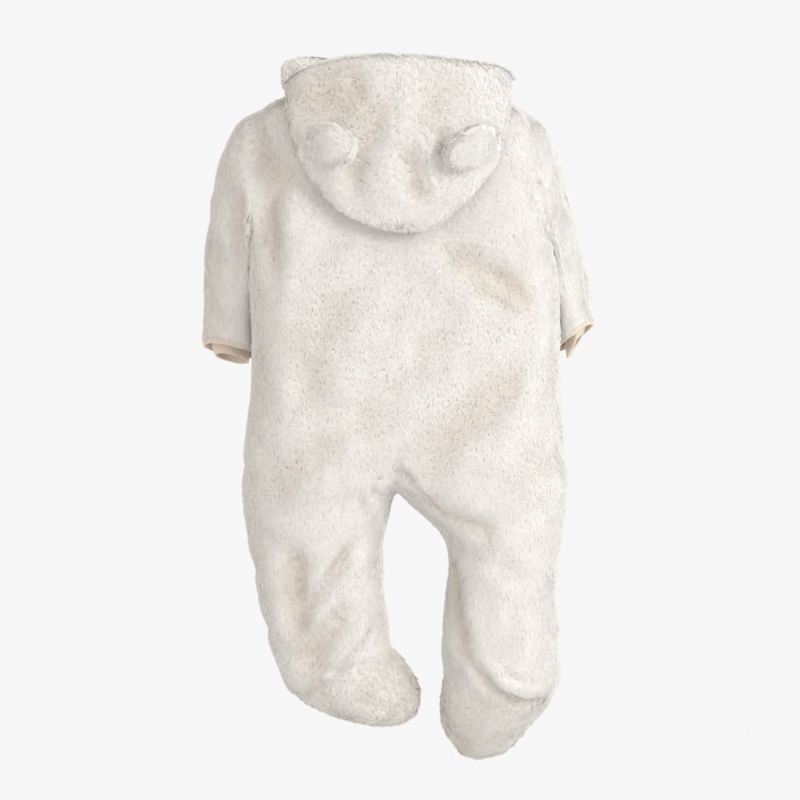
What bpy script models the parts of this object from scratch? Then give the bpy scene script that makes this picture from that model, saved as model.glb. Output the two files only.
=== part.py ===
"""A baby's hooded, footed romper in teddy fleece, standing hollow as it does when it is worn.

The front faces -Y and the back +Y. The wearer's left is +X. The origin is between the shoulders, at their
height. The whole outer skin is laid out first, as grids of points on rings that the tables below give. It is
then cut into the pieces that are sewn together, and each piece gets its wall.
"""

import math
from collections import namedtuple

import bmesh
import bpy
import numpy as np
from mathutils import Matrix, Vector
from mathutils.bvhtree import BVHTree

MM = 0.001
PLUSH = 5.0 * MM  # ground cloth and the pile that leans on it
JERSEY = 1.6 * MM
SEAM = 0.3 * MM  # between pieces at a seam
SEAM_SHARE = 0.6  # of that gap, by which each piece's edge moves back: over half, as it rarely moves squarely
TOUCH = 0.4 * MM  # between a piece and what it lies on
SHARP_EDGE = math.radians(50)
FAR_OUT = 200 * MM  # well outside the romper, where the lines that look for its surface start

PANEL_COLUMNS = 8  # from a centre or inside-leg seam to a side seam
ARMHOLE_STEPS = 8  # from the shoulder point to the armpit, on the front and on the back
ARMHOLE_TOP, ARMHOLE_BOTTOM, ARMHOLE_REACH = 1.0, -122.0, 46.0

# Every table is in millimetres, and each row is one ring of cloth. x is counted away from the middle on
# either side. out and in are the ring's two ends in the view from the back. front and back are its reach
# either way from y_mid.
# mid_front and mid_back say how far the cloth keeps that reach at the middle, where 0 is a closed leg.
# drop_front and drop_back lower the ring there. square is 2 for an ellipse, and more for flatter sides.
RING = "x_out z_out x_in z_in y_mid front back mid_front mid_back drop_front drop_back square"
Ring = namedtuple("Ring", RING)

TORSO_COLUMNS = "z left right y_mid front back mid_front mid_back drop_front drop_back square"
TORSO = (
    (26, 60, 60, 0, 36, 40, 1.00, 1.00, 26, 6, 2.2),
    (18, 86, 84, 0, 41, 47, 1.00, 1.00, 23, 6, 2.4),
    (9, 108, 102, 0, 45, 52, 1.00, 1.00, 19, 5, 2.8),
    (1, 119, 113, 0, 48, 56, 1.00, 1.00, 15, 3, 3.2),
    (-14, 127, 122, 0, 52, 58, 1.00, 1.00, 9, 1, 3.6),
    (-34, 132, 128, 0, 56, 60, 1.00, 1.00, 4, 0, 3.8),
    (-60, 134, 132, 0, 60, 61, 1.00, 1.00, 1, 0, 3.9),
    (-90, 133, 134, 0, 63, 61, 1.00, 1.00, 0, 0, 3.8),
    (-122, 131, 137, 0, 64, 62, 1.00, 1.00, 0, 0, 3.2),
    (-145, 129, 141, 0, 65, 62, 1.00, 1.00, 0, 0, 2.8),
    (-170, 128, 143, 0, 66, 63, 1.00, 1.00, 0, 0, 2.6),
    (-216, 130, 147, 0, 68, 66, 1.00, 1.00, 0, 0, 2.5),
    (-261, 134, 150, 0, 69, 71, 1.00, 1.00, 0, 0, 2.5),
    (-293, 137, 151, 0, 68, 74, 1.00, 1.00, 0, 0, 2.4),
    (-315, 139, 154, 0, 67, 74, 0.93, 0.94, 0, 0, 2.4),
    (-331, 140, 155, 0, 65, 72, 0.72, 0.76, 0, 0, 2.3),
    (-341, 140, 155, 0, 63, 70, 0.40, 0.44, 0, 0, 2.3),
    (-346, 140, 155, 0, 62, 69, 0.00, 0.00, 0, 0, 2.3),
)

LEG_COLUMNS = "z_out x_out z_in x_in y_mid front back drop_front drop_back square"
LEFT_LEG = (
    (-356, 140, -358, 5, 0, 60, 66, 0, 0, 2.2),
    (-378, 136, -378, 10, 0, 55, 61, 0, 0, 2.1),
    (-408, 132, -402, 12, 0, 50, 55, 0, 0, 2.1),
    (-440, 127, -424, 11, 0, 48, 51, 0, 0, 2.1),
    (-474, 118, -446, 8, 0, 46, 49, 0, -4, 2.1),
    (-504, 108, -465, 6, -1, 45, 47, 0, -9, 2.1),
    (-523, 99, -477, 5, -3, 43, 43, 0, -12, 2.1),
    (-532, 90, -483, 4, -4, 41, 39, 1, -12, 2.1),
)
RIGHT_LEG = (
    (-356, 154, -359, 14, 0, 60, 66, 0, 0, 2.2),
    (-374, 152, -374, 36, 0, 56, 61, 0, 0, 2.1),
    (-402, 148, -402, 48, 0, 50, 55, 0, 0, 2.1),
    (-436, 142, -434, 41, 0, 49, 52, 0, 0, 2.1),
    (-464, 146, -462, 40, 0, 49, 54, 0, 2, 2.1),
    (-490, 149, -481, 39, -1, 50, 57, 2, 7, 2.1),
    (-512, 148, -492, 40, -3, 49, 55, 3, 10, 2.1),
    (-524, 142, -500, 42, -5, 46, 49, 4, 11, 2.1),
)

FOOT_COLUMNS = "z_out x_out z_in x_in y_mid front back square"
LEFT_FOOT = (
    (-540, 76, -490, -2, -6, 43, 41, 2.2),
    (-548, 56, -497, -9, -9, 42, 39, 2.2),
    (-554, 33, -505, -15, -13, 40, 36, 2.2),
    (-557, 11, -516, -20, -17, 35, 30, 2.2),
    (-555, -6, -530, -23, -20, 24, 20, 2.1),
)
LEFT_TOE = (-21, -22, -546)
RIGHT_FOOT = (
    (-535, 138, -526, 37, -10, 46, 46, 2.2),
    (-546, 128, -542, 35, -17, 45, 44, 2.2),
    (-558, 117, -556, 38, -25, 42, 40, 2.2),
    (-570, 108, -571, 46, -34, 36, 33, 2.2),
    (-581, 97, -582, 55, -42, 24, 22, 2.1),
)
RIGHT_TOE = (75, -47, -588)
HEEL_ROWS = 1  # rings that the upper keeps whole behind the sole
SOLE_WIDTH = 6  # columns of the foot's rings
SOLE_START = {"left": -3, "right": 1}  # columns from the side seam to the sole's first one

SLEEVE_COLUMNS = "x_out z_out x_in z_in y_mid front back drop_front drop_back"
LEFT_SLEEVE = (
    (139, -6, 132, -126, 0, 46, 46, 0, 0),
    (148, -20, 132, -132, -2, 45, 45, 0, 0),
    (159, -39, 131, -139, -6, 44, 43, 0, 0),
    (166, -65, 130, -149, -14, 42, 40, 0, 0),
    (171, -97, 127, -163, -24, 40, 38, 0, 0),
    (174, -133, 126, -178, -33, 38, 36, 0, 0),
    (177, -168, 125, -196, -40, 37, 34, 2, -2),
    (178, -209, 126, -219, -44, 37, 33, 4, -5),
)
RIGHT_SLEEVE = (
    (128, -7, 138, -127, -1, 46, 46, 0, 0),
    (137, -19, 140, -133, -3, 45, 45, 0, 0),
    (144, -37, 142, -141, -8, 44, 43, 0, 0),
    (151, -64, 143, -152, -16, 42, 40, 0, 0),
    (159, -97, 142, -166, -26, 41, 38, 0, 0),
    (168, -133, 142, -181, -34, 40, 37, 0, 0),
    (175, -164, 143, -196, -41, 39, 36, 2, -2),
    (180, -190, 145, -214, -45, 38, 35, 3, -5),
)
BINDING_LENGTH = 3.0 * MM
# How far the cuff is drawn in from the rings of the sleeve: at their two ends, and at the front and the back.
CUFF_INSETS = ((6.2, 9.0), (6.6, 9.5), (7.0, 10.0))
# The band's mouth, below the sleeve that it hangs in.
LEFT_CUFF = (165, -221, 134, -227, -44, 28, 25, 3, -4)
RIGHT_CUFF = (168, -203, 154, -223, -45, 28, 26, 3, -4)

# The hood hangs down the back as a flat pouch. Each row is one line of it, which rolls over the neck seam,
# goes down through under to the fold and comes up again through over to the rim. Beside and before the neck
# it only stands up.
# at says how far round the neck the line starts, from the middle of the back (0) to the throat (1).
HOOD_COLUMNS = (
    "at roll under_x under_y under_z fold_x fold_y fold_z over_x over_y over_z rim_x rim_y rim_z"
)
LEFT_HOOD = (
    (0.00, 14, 0, 64, -48, 0, 78, -114, 0, 96, -46, 0, 87, 47),
    (0.10, 14, 16, 64, -46, 32, 77, -105, 34, 95, -43, 33, 86, 46),
    (0.22, 13, 38, 63, -37, 63, 74, -85, 68, 91, -34, 66, 80, 40),
    (0.34, 13, 60, 62, -20, 84, 68, -56, 92, 78, -15, 90, 67, 31),
    (0.44, 11, 74, 56, 3, 94, 59, -22, 101, 62, 3, 101, 51, 23),
    (0.52, 9, 78, 42, 18, 96, 46, 6, 102, 46, 14, 103, 38, 22),
    (0.62, 6, 74, 14, 30, 90, 18, 25, 99, 16, 30, 103, 10, 37),
    (0.72, 4, 68, -8, 32, 84, -10, 31, 95, -12, 38, 99, -14, 46),
    (0.82, 2, 52, -30, 22, 63, -34, 30, 72, -34, 41, 76, -32, 51),
    (0.92, 0, 22, -41, 10, 26, -44, 22, 28, -46, 34, 30, -44, 45),
    (1.00, 0, 0, -41, 9, 0, -45, 18, 0, -47, 27, 0, -46, 35),
)
RIGHT_HOOD = (
    (0.00, 14, 0, 64, -48, 0, 78, -114, 0, 96, -46, 0, 87, 47),
    (0.10, 14, 16, 64, -48, 31, 77, -111, 34, 95, -45, 33, 86, 45),
    (0.22, 13, 38, 63, -38, 62, 74, -86, 68, 91, -34, 66, 80, 41),
    (0.34, 13, 60, 62, -20, 86, 68, -56, 94, 78, -13, 92, 67, 37),
    (0.44, 11, 74, 56, 3, 95, 59, -24, 102, 62, 5, 102, 51, 30),
    (0.52, 9, 78, 42, 18, 96, 46, 6, 102, 46, 15, 103, 38, 25),
    (0.62, 6, 74, 14, 30, 90, 18, 24, 98, 16, 25, 101, 10, 28),
    (0.72, 4, 68, -8, 32, 81, -10, 30, 90, -12, 31, 93, -14, 34),
    (0.82, 2, 52, -30, 22, 60, -34, 28, 66, -34, 34, 69, -32, 39),
    (0.92, 0, 22, -41, 10, 26, -44, 20, 28, -46, 29, 30, -44, 38),
    (1.00, 0, 0, -41, 9, 0, -45, 18, 0, -47, 27, 0, -46, 35),
)
HOOD_CLEAR = 5.0 * MM  # between the hood's under layer and the back
BENEATH = -0.7  # cosine to the outward normal, below which a point counts as inside the body
ROLL_SHARE = 0.3  # of the way from the neck seam to under, where the roll is highest
# Where a line's points lie: 0 at the seam, 1 on the roll, 2 at under, 3 at the fold, 4 at over, 5 at the rim.
HOOD_STEPS = (0, 0.4, 0.8, 1.2, 1.6, 2, 2.5, 2.8, 3, 3.2, 3.5, 4, 4.5, 5)

# An ear starts at x and z on the hood, points to the middle and turn degrees down, and stands off by lift
# degrees.
EAR_COLUMNS = "name side x z turn lift length width thick"
EARS = (
    ("ear_left", 1, 62, -33, 26, 30, 33, 20, 9),
    ("ear_right", -1, 72, -34, 16, 24, 42, 19, 10),
)
EAR_SEGMENTS, EAR_RINGS = 14, 8

PLACKET_HALF_WIDTH = 11.0 * MM
PLACKET_TOP, PLACKET_BOTTOM = -8.0, -295.0
PLACKET_WALL = 2.0 * MM
STUDS = 6
STUD_RADIUS, STUD_HEIGHT = 5.5 * MM, 2.0 * MM
STUD_TOP = 0.72  # of its radius, where its flat top ends
STUD_SEGMENTS = 14
STUD_MARGIN = 0.06  # share of the placket above the first stud and below the last

CREAM = (0.86, 0.82, 0.76)
BEIGE = (0.80, 0.66, 0.52)
SHELL = (0.88, 0.85, 0.80)


# Tables and curves


def columns(names, rows):
    """The rows as named tuples."""
    row_type = namedtuple("Row", names)
    return [row_type(*row) for row in rows]


def read_between(keys, values, wanted):
    """Values read at other keys, on smooth curves through the given ones."""
    keys, values = np.array(keys, float), np.array(values, float)
    slopes = np.gradient(values, keys, axis=0)
    found = []
    for key in wanted:
        i = int(np.clip(np.searchsorted(keys, key) - 1, 0, len(keys) - 2))
        span = keys[i + 1] - keys[i]
        t = (key - keys[i]) / span
        start = (1 + 2 * t) * (1 - t) ** 2 * values[i] + t * (1 - t) ** 2 * span * slopes[i]
        end = t * t * (3 - 2 * t) * values[i + 1] + t * t * (t - 1) * span * slopes[i + 1]
        found.append(start + end)
    return found


def even(count, low=0.0, high=1.0):
    return [low + (high - low) * i / count for i in range(count + 1)]


# Rings


def power(value, exponent):
    return math.copysign(abs(value) ** exponent, value)


def half_ring(ring, side, front, start=0.0, steps=PANEL_COLUMNS):
    """Points from the ring's inner end to its outer end, over the front or over the back.

    start is the angle at which they stop short of the outer end, for an armhole.
    """
    facing, reach, middle, drop = (
        (-1, ring.front, ring.mid_front, ring.drop_front)
        if front
        else (1, ring.back, ring.mid_back, ring.drop_back)
    )
    found = []
    for angle in even(steps, math.pi, start):
        along = power(math.cos(angle), 2 / ring.square)
        bulge = max(math.sin(angle), 0.0) ** (2 / ring.square)
        if along < 0:
            bulge = middle + (1 - middle) * bulge
        x = (ring.x_out + ring.x_in) / 2 + along * (ring.x_out - ring.x_in) / 2
        z = (ring.z_out + ring.z_in) / 2 + along * (ring.z_out - ring.z_in) / 2
        y = ring.y_mid + facing * reach * bulge
        found.append(Vector((side * x, y, z - drop * bulge)) * MM)
    return found


def body_rings(side):
    """The rings of one half of the body, as a table keyed by height: the torso, and then the leg."""
    rings = []
    for row in columns(TORSO_COLUMNS, TORSO):
        x = row.left if side > 0 else row.right
        shape = (row.front, row.back, row.mid_front, row.mid_back, row.drop_front, row.drop_back)
        rings.append(Ring(x, row.z, 0, row.z, row.y_mid, *shape, row.square))
    for row in columns(LEG_COLUMNS, LEFT_LEG if side > 0 else RIGHT_LEG):
        shape = (row.front, row.back, 0, 0, row.drop_front, row.drop_back)
        rings.append(Ring(row.x_out, row.z_out, row.x_in, row.z_in, row.y_mid, *shape, row.square))
    return rings


def armhole_levels():
    """Heights that step evenly round the armhole's oval, from the shoulder point to the armpit."""
    middle, half = (ARMHOLE_TOP + ARMHOLE_BOTTOM) / 2, (ARMHOLE_TOP - ARMHOLE_BOTTOM) / 2
    return [middle + half * math.cos(angle) for angle in even(ARMHOLE_STEPS, 0, math.pi)]


def body_levels(side):
    """The heights of the body's rings: those of the table, but round the armhole those of its oval."""
    heights = [ring.z_out for ring in body_rings(side)]
    above = [z for z in heights if z > ARMHOLE_TOP]
    below = [z for z in heights if z < ARMHOLE_BOTTOM]
    return above + armhole_levels() + below


def armhole_start(ring, front):
    """The angle round the ring at which its cloth meets the armhole, or 0 where there is none."""
    middle, half = (ARMHOLE_TOP + ARMHOLE_BOTTOM) / 2, (ARMHOLE_TOP - ARMHOLE_BOTTOM) / 2
    up = (ring.z_out - middle) / half
    if abs(up) >= 1:
        return 0.0
    reach = ARMHOLE_REACH * math.sqrt(1 - up * up)
    share = reach / (ring.front if front else ring.back)
    return math.asin(share ** (ring.square / 2))


def body_rows(side, front):
    """The rows of a front or back panel, from the neck to the ankle."""
    table = body_rings(side)
    levels = body_levels(side)
    rows = read_between([-ring.z_out for ring in table], table, [-z for z in levels])
    rings = [Ring(*row) for row in rows]
    return [half_ring(ring, side, front, armhole_start(ring, front)) for ring in rings]


def loop_of(front_row, back_row):
    """A closed ring from its two halves: over the front to the outer end, and home over the back."""
    return front_row + back_row[-2:0:-1]


def foot_rows(side):
    """The foot's rings, from the one below the ankle to the toe, and the point of the toe."""
    table = columns(FOOT_COLUMNS, LEFT_FOOT if side > 0 else RIGHT_FOOT)
    rows = []
    for row in table:
        shape = (row.y_mid, row.front, row.back, 0, 0, 0, 0, row.square)
        ring = Ring(row.x_out, row.z_out, row.x_in, row.z_in, *shape)
        rows.append(loop_of(half_ring(ring, side, True), half_ring(ring, side, False)))
    x, y, z = LEFT_TOE if side > 0 else RIGHT_TOE
    toe = Vector((side * x, y, z)) * MM
    rows.append([toe] * len(rows[0]))
    return rows


def oval(row, side, steps=2 * ARMHOLE_STEPS):
    """A ring of a sleeve, from its outer end over the front to its inner end, and home over the back."""
    found = []
    for i in range(steps):
        angle = 2 * math.pi * i / steps
        along, across = math.cos(angle), math.sin(angle)
        reach, drop = (row.front, row.drop_front) if across >= 0 else (row.back, row.drop_back)
        x = (row.x_out + row.x_in) / 2 + along * (row.x_out - row.x_in) / 2
        z = (row.z_out + row.z_in) / 2 + along * (row.z_out - row.z_in) / 2
        point = Vector((side * x, row.y_mid - reach * across, z - drop * abs(across)))
        found.append(point * MM)
    return found


def sleeve_rows(side):
    """The sleeve's rings, starting with the armhole's edge in the body."""
    first = len([z for z in body_levels(side) if z > ARMHOLE_TOP])
    span = slice(first, first + ARMHOLE_STEPS + 1)
    front = [row[-1] for row in body_rows(side, True)[span]]
    back = [row[-1] for row in body_rows(side, False)[span]]
    table = columns(SLEEVE_COLUMNS, LEFT_SLEEVE if side > 0 else RIGHT_SLEEVE)
    rows = [front + back[-2:0:-1]] + [oval(row, side) for row in table]
    ends = zip(rows[-2], rows[-1])
    rows.append([end + (end - before).normalized() * BINDING_LENGTH for before, end in ends])
    return rows


# The skin: one mesh for all pieces that are sewn edge to edge, each face marked with its piece


class Skin:
    def __init__(self):
        self.mesh = bmesh.new()
        self.mark = self.mesh.faces.layers.int.new("piece")
        self.names = []

    def add(self, name, rows, closed=False, flip=False):
        """Faces between neighbouring rows. name is one piece, or a function of a face's row and column."""
        count = len(rows[0])
        made = [[self.mesh.verts.new(point) for point in row] for row in rows]
        for i in range(len(rows) - 1):
            for j in range(count if closed else count - 1):
                k = (j + 1) % count
                corners = [made[i][j], made[i + 1][j], made[i + 1][k], made[i][k]]
                face = self.mesh.faces.new(corners[::-1] if flip else corners)
                face[self.mark] = self.number(name if isinstance(name, str) else name(i, j))

    def number(self, name):
        if name not in self.names:
            self.names.append(name)
        return self.names.index(name)

    def weld(self):
        bmesh.ops.remove_doubles(self.mesh, verts=self.mesh.verts[:], dist=0.01 * MM)
        self.mesh.normal_update()
        self.mesh.verts.index_update()

    def faces_of(self, name):
        return [face for face in self.mesh.faces if face[self.mark] == self.names.index(name)]

    def tree(self):
        return BVHTree.FromBMesh(self.mesh)


def seam_shift(faces, edge_points):
    """How far each point of a piece's edge moves into the piece, so that a seam's gap is left."""
    toward = {point: Vector() for point in edge_points}
    for face in faces:
        centre = face.calc_center_median()
        for point in face.verts:
            if point in toward:
                toward[point] += (centre - point.co).normalized()
    return {point: way.normalized() * SEAM * SEAM_SHARE for point, way in toward.items()}


def cut_piece(skin, name, wall, material):
    """The solid of one piece: its part of the skin, the same part moved in by the wall, and a rim between."""
    faces = skin.faces_of(name)
    counts = {}
    for face in faces:
        for loop in face.loops:
            counts.setdefault(loop.edge, []).append(loop)
    rim = [loops[0] for loops in counts.values() if len(loops) == 1]
    edge_points = {point for loop in rim for point in loop.edge.verts}
    shift = seam_shift(faces, edge_points)
    used = {point for face in faces for point in face.verts}
    points = sorted(used, key=lambda point: point.index)
    outer = {point: i for i, point in enumerate(points)}
    moved = [point.co + shift.get(point, Vector()) for point in points]
    inward = [place - point.normal * wall for place, point in zip(moved, points)]
    solid_faces = []
    for face in faces:
        corners = [outer[point] for point in face.verts]
        solid_faces.append(corners)
        solid_faces.append([corner + len(points) for corner in corners[::-1]])
    for loop in rim:
        a, b = outer[loop.vert], outer[loop.link_loop_next.vert]
        # The pieces on both sides of a seam split its rim the same way, from the point that comes first.
        if a < b:
            solid_faces += [[b, a, b + len(points)], [a, a + len(points), b + len(points)]]
        else:
            solid_faces += [[b, a, a + len(points)], [b, a + len(points), b + len(points)]]
    return solid(name, moved + inward, solid_faces, material)


# Objects


def make_material(name, colour, roughness):
    material = bpy.data.materials.new(name)
    material.use_nodes = True
    shader = material.node_tree.nodes["Principled BSDF"]
    shader.inputs["Base Color"].default_value = (*colour, 1)
    shader.inputs["Roughness"].default_value = roughness
    shader.inputs["Metallic"].default_value = 0
    return material


def solid(name, points, faces, material):
    mesh = bpy.data.meshes.new(name)
    mesh.from_pydata([tuple(point) for point in points], [], faces)
    return place(name, mesh, material)


def place(name, mesh, material):
    mesh.materials.append(material)
    mesh.shade_smooth()
    mesh.set_sharp_from_angle(angle=SHARP_EDGE)
    made = bpy.data.objects.new(name, mesh)
    bpy.context.scene.collection.objects.link(made)
    return made


# The sewn pieces


def body_skin():
    """Panels, legs, feet and sleeves in one skin."""
    skin = Skin()
    for side, word in ((1, "left"), (-1, "right")):
        fronts, backs = body_rows(side, True), body_rows(side, False)
        skin.add("front_" + word, fronts, flip=side < 0)
        skin.add("back_" + word, backs, flip=side > 0)
        ankle = loop_of(fronts[-1], backs[-1])
        rows = [ankle] + foot_rows(side)
        skin.add(foot_names(word, len(rows) - 1), rows, closed=True, flip=side < 0)
        rows = sleeve_rows(side)
        last = len(rows) - 2
        names = {True: "binding_" + word, False: "sleeve_" + word}
        skin.add(lambda i, j, n=names, e=last: n[i == e], rows, closed=True, flip=side > 0)
    skin.weld()
    return skin


def foot_names(word, rows):
    """Which faces of a foot are sole: under the left one, which lies on its side, and behind the right one."""
    first = PANEL_COLUMNS + SOLE_START[word]
    last = first + SOLE_WIDTH

    def name(i, j):
        in_sole = first <= j < last and HEEL_ROWS <= i < rows - 1
        return ("sole_" if in_sole else "foot_") + word

    return name


def inside(row, sides, ends):
    """A ring of a sleeve drawn in: by sides at its outer and inner ends, and by ends at the front and back."""
    drop = sides * (row.z_out - row.z_in) / (row.x_out - row.x_in)
    narrower = row._replace(front=row.front - ends, back=row.back - ends)
    narrower = narrower._replace(x_out=row.x_out - sides, z_out=row.z_out - drop)
    return narrower._replace(x_in=row.x_in + sides, z_in=row.z_in + drop)


def cuffs(material):
    """Bands sewn inside the sleeves, a little above their ends, that show below them."""
    tables = ((1, "left", LEFT_SLEEVE, LEFT_CUFF), (-1, "right", RIGHT_SLEEVE, RIGHT_CUFF))
    for side, word, table, mouth in tables:
        *_, above, below, end = columns(SLEEVE_COLUMNS, table)
        seat = above._make([(a + b) / 2 for a, b in zip(above, below)])
        rings = [inside(row, *insets) for row, insets in zip((seat, below, end), CUFF_INSETS)]
        rings += columns(SLEEVE_COLUMNS, (mouth,))
        own = Skin()
        own.add("cuff_" + word, [oval(ring, side) for ring in rings], closed=True, flip=side > 0)
        own.weld()
        cut_piece(own, "cuff_" + word, JERSEY, material)


def clear_of(tree, point, distance):
    """The point, moved off the body where it is inside it or nearer than distance."""
    place_on, normal = tree.find_nearest(point)[:2]
    offset = point - place_on
    beneath = offset.dot(normal) < BENEATH * offset.length
    return place_on + normal * distance if beneath or offset.length < distance else point


def hood_line(tree, neck, row, side):
    """The points of one line of the hood, from the neck seam to the rim."""
    places = (row[2:5], row[5:8], row[8:11], row[11:14])
    under, fold, over, rim = (Vector((side * x, y, z)) * MM for x, y, z in places)
    start = neck + Vector((0, 0, TOUCH))
    roll = start.lerp(under, ROLL_SHARE) + Vector((0, 0, row[1] * MM))
    through = read_between(even(5, 0, 5), [start, roll, under, fold, over, rim], HOOD_STEPS)
    return [start] + [clear_of(tree, Vector(point), HOOD_CLEAR) for point in through[1:]]


def hood_skin(tree):
    skin = Skin()
    for side, word, table in ((1, "left", LEFT_HOOD), (-1, "right", RIGHT_HOOD)):
        table = columns(HOOD_COLUMNS, table)
        neck = body_rows(side, False)[0] + body_rows(side, True)[0][-2::-1]
        rows = read_between([row.at for row in table], table, even(len(neck) - 1))
        lines = [hood_line(tree, point, row, side) for point, row in zip(neck, rows)]
        skin.add("hood_" + word, lines, flip=side > 0)
    skin.weld()
    return skin


def cut_off(mesh, point, normal):
    """Takes away what lies beyond a plane and closes the cut."""
    cut = bmesh.ops.bisect_plane(
        mesh,
        geom=mesh.verts[:] + mesh.edges[:] + mesh.faces[:],
        plane_co=point,
        plane_no=normal,
        clear_outer=True,
    )
    rim = [item for item in cut["geom_cut"] if isinstance(item, bmesh.types.BMEdge)]
    bmesh.ops.contextual_create(mesh, geom=rim)


def ear_half(name, way, frame, seat, row, material):
    """One of an ear's two round pieces, with its filling. way is 1 above the middle and -1 below it."""
    mesh = bmesh.new()
    bmesh.ops.create_uvsphere(mesh, u_segments=EAR_SEGMENTS, v_segments=EAR_RINGS, radius=1)
    size = (row.length * MM, row.width * MM, row.thick * MM, 1)
    bmesh.ops.transform(mesh, matrix=frame @ Matrix.Diagonal(size), verts=mesh.verts[:])
    thin = frame.to_3x3() @ Vector((0, 0, way))
    cut_off(mesh, frame.translation + thin * SEAM / 2, -thin)
    cut_off(mesh, seat[0] + seat[1] * TOUCH, -seat[1])
    bmesh.ops.recalc_face_normals(mesh, faces=mesh.faces[:])
    data = bpy.data.meshes.new(name)
    mesh.to_mesh(data)
    mesh.free()
    place(name, data, material)


def ears(tree, material):
    """Each ear lies on the hood at its root and leans off it towards its tip."""
    for row in columns(EAR_COLUMNS, EARS):
        seen = Vector((row.side * row.x * MM, FAR_OUT, row.z * MM))
        point, normal = tree.ray_cast(seen, Vector((0, -1, 0)))[:2]
        inwards = (Vector((-row.side, 0, 0)) + normal * normal.x * row.side).normalized()
        turn = Matrix.Rotation(math.radians(-row.turn) * row.side, 3, normal)
        flat = turn @ inwards
        across = normal.cross(flat)
        lift = Matrix.Rotation(math.radians(-row.lift), 3, across)
        axes = Matrix((lift @ flat, across, lift @ normal)).transposed()
        frame = Matrix.Translation(point) @ axes.to_4x4()
        ear_half(row.name + "_outer", 1, frame, (point, normal), row, material)
        ear_half(row.name + "_inner", -1, frame, (point, normal), row, material)


def placket_row(right, left, out):
    """Five points across the front opening, on one pair of the front panels' rows, moved off them."""
    found = []
    for row in (right, left):
        share = (PLACKET_HALF_WIDTH - abs(row[1].x)) / abs(row[2].x - row[1].x)
        found.append([row[1].lerp(row[2], share), row[1]])
    across = found[0] + [right[0]] + found[1][::-1]
    return [point + out * (TOUCH + PLACKET_WALL) for point in across]


def placket_and_studs(jersey, shell):
    """A strip over the front opening, from points of the front moved out, and caps along it."""
    rights, lefts = body_rows(-1, True), body_rows(1, True)
    rows = []
    for i in range(1, len(lefts) - 1):
        down = lefts[i + 1][0] - lefts[i - 1][0]
        out = Vector((0, down.z, -down.y)).normalized()
        if PLACKET_BOTTOM * MM < lefts[i][0].z < PLACKET_TOP * MM:
            rows.append(placket_row(rights[i], lefts[i], out))
    skin = Skin()
    skin.add("placket", rows)
    skin.weld()
    cut_piece(skin, "placket", PLACKET_WALL, jersey)
    top, bottom = rows[0][2].z, rows[-1][2].z
    strip = skin.tree()
    for i, share in enumerate(even(STUDS - 1, STUD_MARGIN, 1 - STUD_MARGIN)):
        start = Vector((0, -FAR_OUT, top + (bottom - top) * share))
        point, normal = strip.ray_cast(start, Vector((0, 1, 0)))[:2]
        stud(f"stud_{i + 1}", point, normal, shell)


def stud(name, point, normal, material):
    mesh = bmesh.new()
    turned = normal.to_track_quat("Z", "Y").to_matrix().to_4x4()
    lifted = Matrix.Translation(point + normal * (TOUCH + STUD_HEIGHT / 2)) @ turned
    bmesh.ops.create_cone(
        mesh,
        cap_ends=True,
        segments=STUD_SEGMENTS,
        radius1=STUD_RADIUS,
        radius2=STUD_RADIUS * STUD_TOP,
        depth=STUD_HEIGHT,
    )
    data = bpy.data.meshes.new(name)
    mesh.to_mesh(data)
    mesh.free()
    made = place(name, data, material)
    made.matrix_world = lifted


def main():
    for item in list(bpy.data.objects):
        bpy.data.objects.remove(item)
    plush = make_material("cream_plush", CREAM, 0.95)
    jersey = make_material("beige_jersey", BEIGE, 0.85)
    shell = make_material("stud_cap", SHELL, 0.35)
    skin = body_skin()
    tree = skin.tree()
    for name in skin.names:
        cut_piece(skin, name, PLUSH, jersey if name.startswith("binding") else plush)
    cuffs(jersey)
    hood = hood_skin(tree)
    for name in hood.names:
        cut_piece(hood, name, PLUSH, plush)
    ears(hood.tree(), plush)
    placket_and_studs(jersey, shell)


main()
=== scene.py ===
"""The looks of a baby's hooded, footed romper in cream teddy fleece, seen from behind.

Each fleece piece is a thin ground cloth on the outer side of its solid, with a pile of fine blades on it.
All the body's pieces share one smooth skin, so that folds and pile run on over the seams between them.
The back faces +Y and the wearer's left is +X, so the camera stands on +Y and sees the left side on its left.
"""

import math
from collections import namedtuple

import bmesh
import bpy
import numpy as np
from mathutils import Matrix, Vector, kdtree
from mathutils.bvhtree import BVHTree


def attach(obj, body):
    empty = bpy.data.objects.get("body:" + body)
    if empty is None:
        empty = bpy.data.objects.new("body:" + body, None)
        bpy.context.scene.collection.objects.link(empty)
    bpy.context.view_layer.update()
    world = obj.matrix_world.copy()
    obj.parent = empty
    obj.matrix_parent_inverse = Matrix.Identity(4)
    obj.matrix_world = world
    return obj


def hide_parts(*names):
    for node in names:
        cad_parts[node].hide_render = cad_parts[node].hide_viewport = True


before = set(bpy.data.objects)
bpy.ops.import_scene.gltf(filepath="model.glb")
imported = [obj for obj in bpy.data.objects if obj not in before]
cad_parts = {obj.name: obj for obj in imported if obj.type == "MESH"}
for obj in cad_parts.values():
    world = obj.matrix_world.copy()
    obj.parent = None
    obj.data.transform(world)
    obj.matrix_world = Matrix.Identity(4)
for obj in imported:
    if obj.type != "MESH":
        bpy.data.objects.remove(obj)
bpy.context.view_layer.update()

MM = 0.001
SIDES = ("left", "right")

# The walls of the solids, by which the outer side of each is told from its rim.
FLEECE_WALL = 5.0 * MM
JERSEY_WALL = 1.6 * MM
PLACKET_WALL = 2.0 * MM
SAME_LENGTH = 0.001 * MM
SEAM_REACH = 0.45 * MM  # points this near across a seam are one
# Two triangles are made one face if they turn from each other and from square by less than this.
FACE_TURN, SHAPE_TURN = math.radians(40), math.radians(60)

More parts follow.
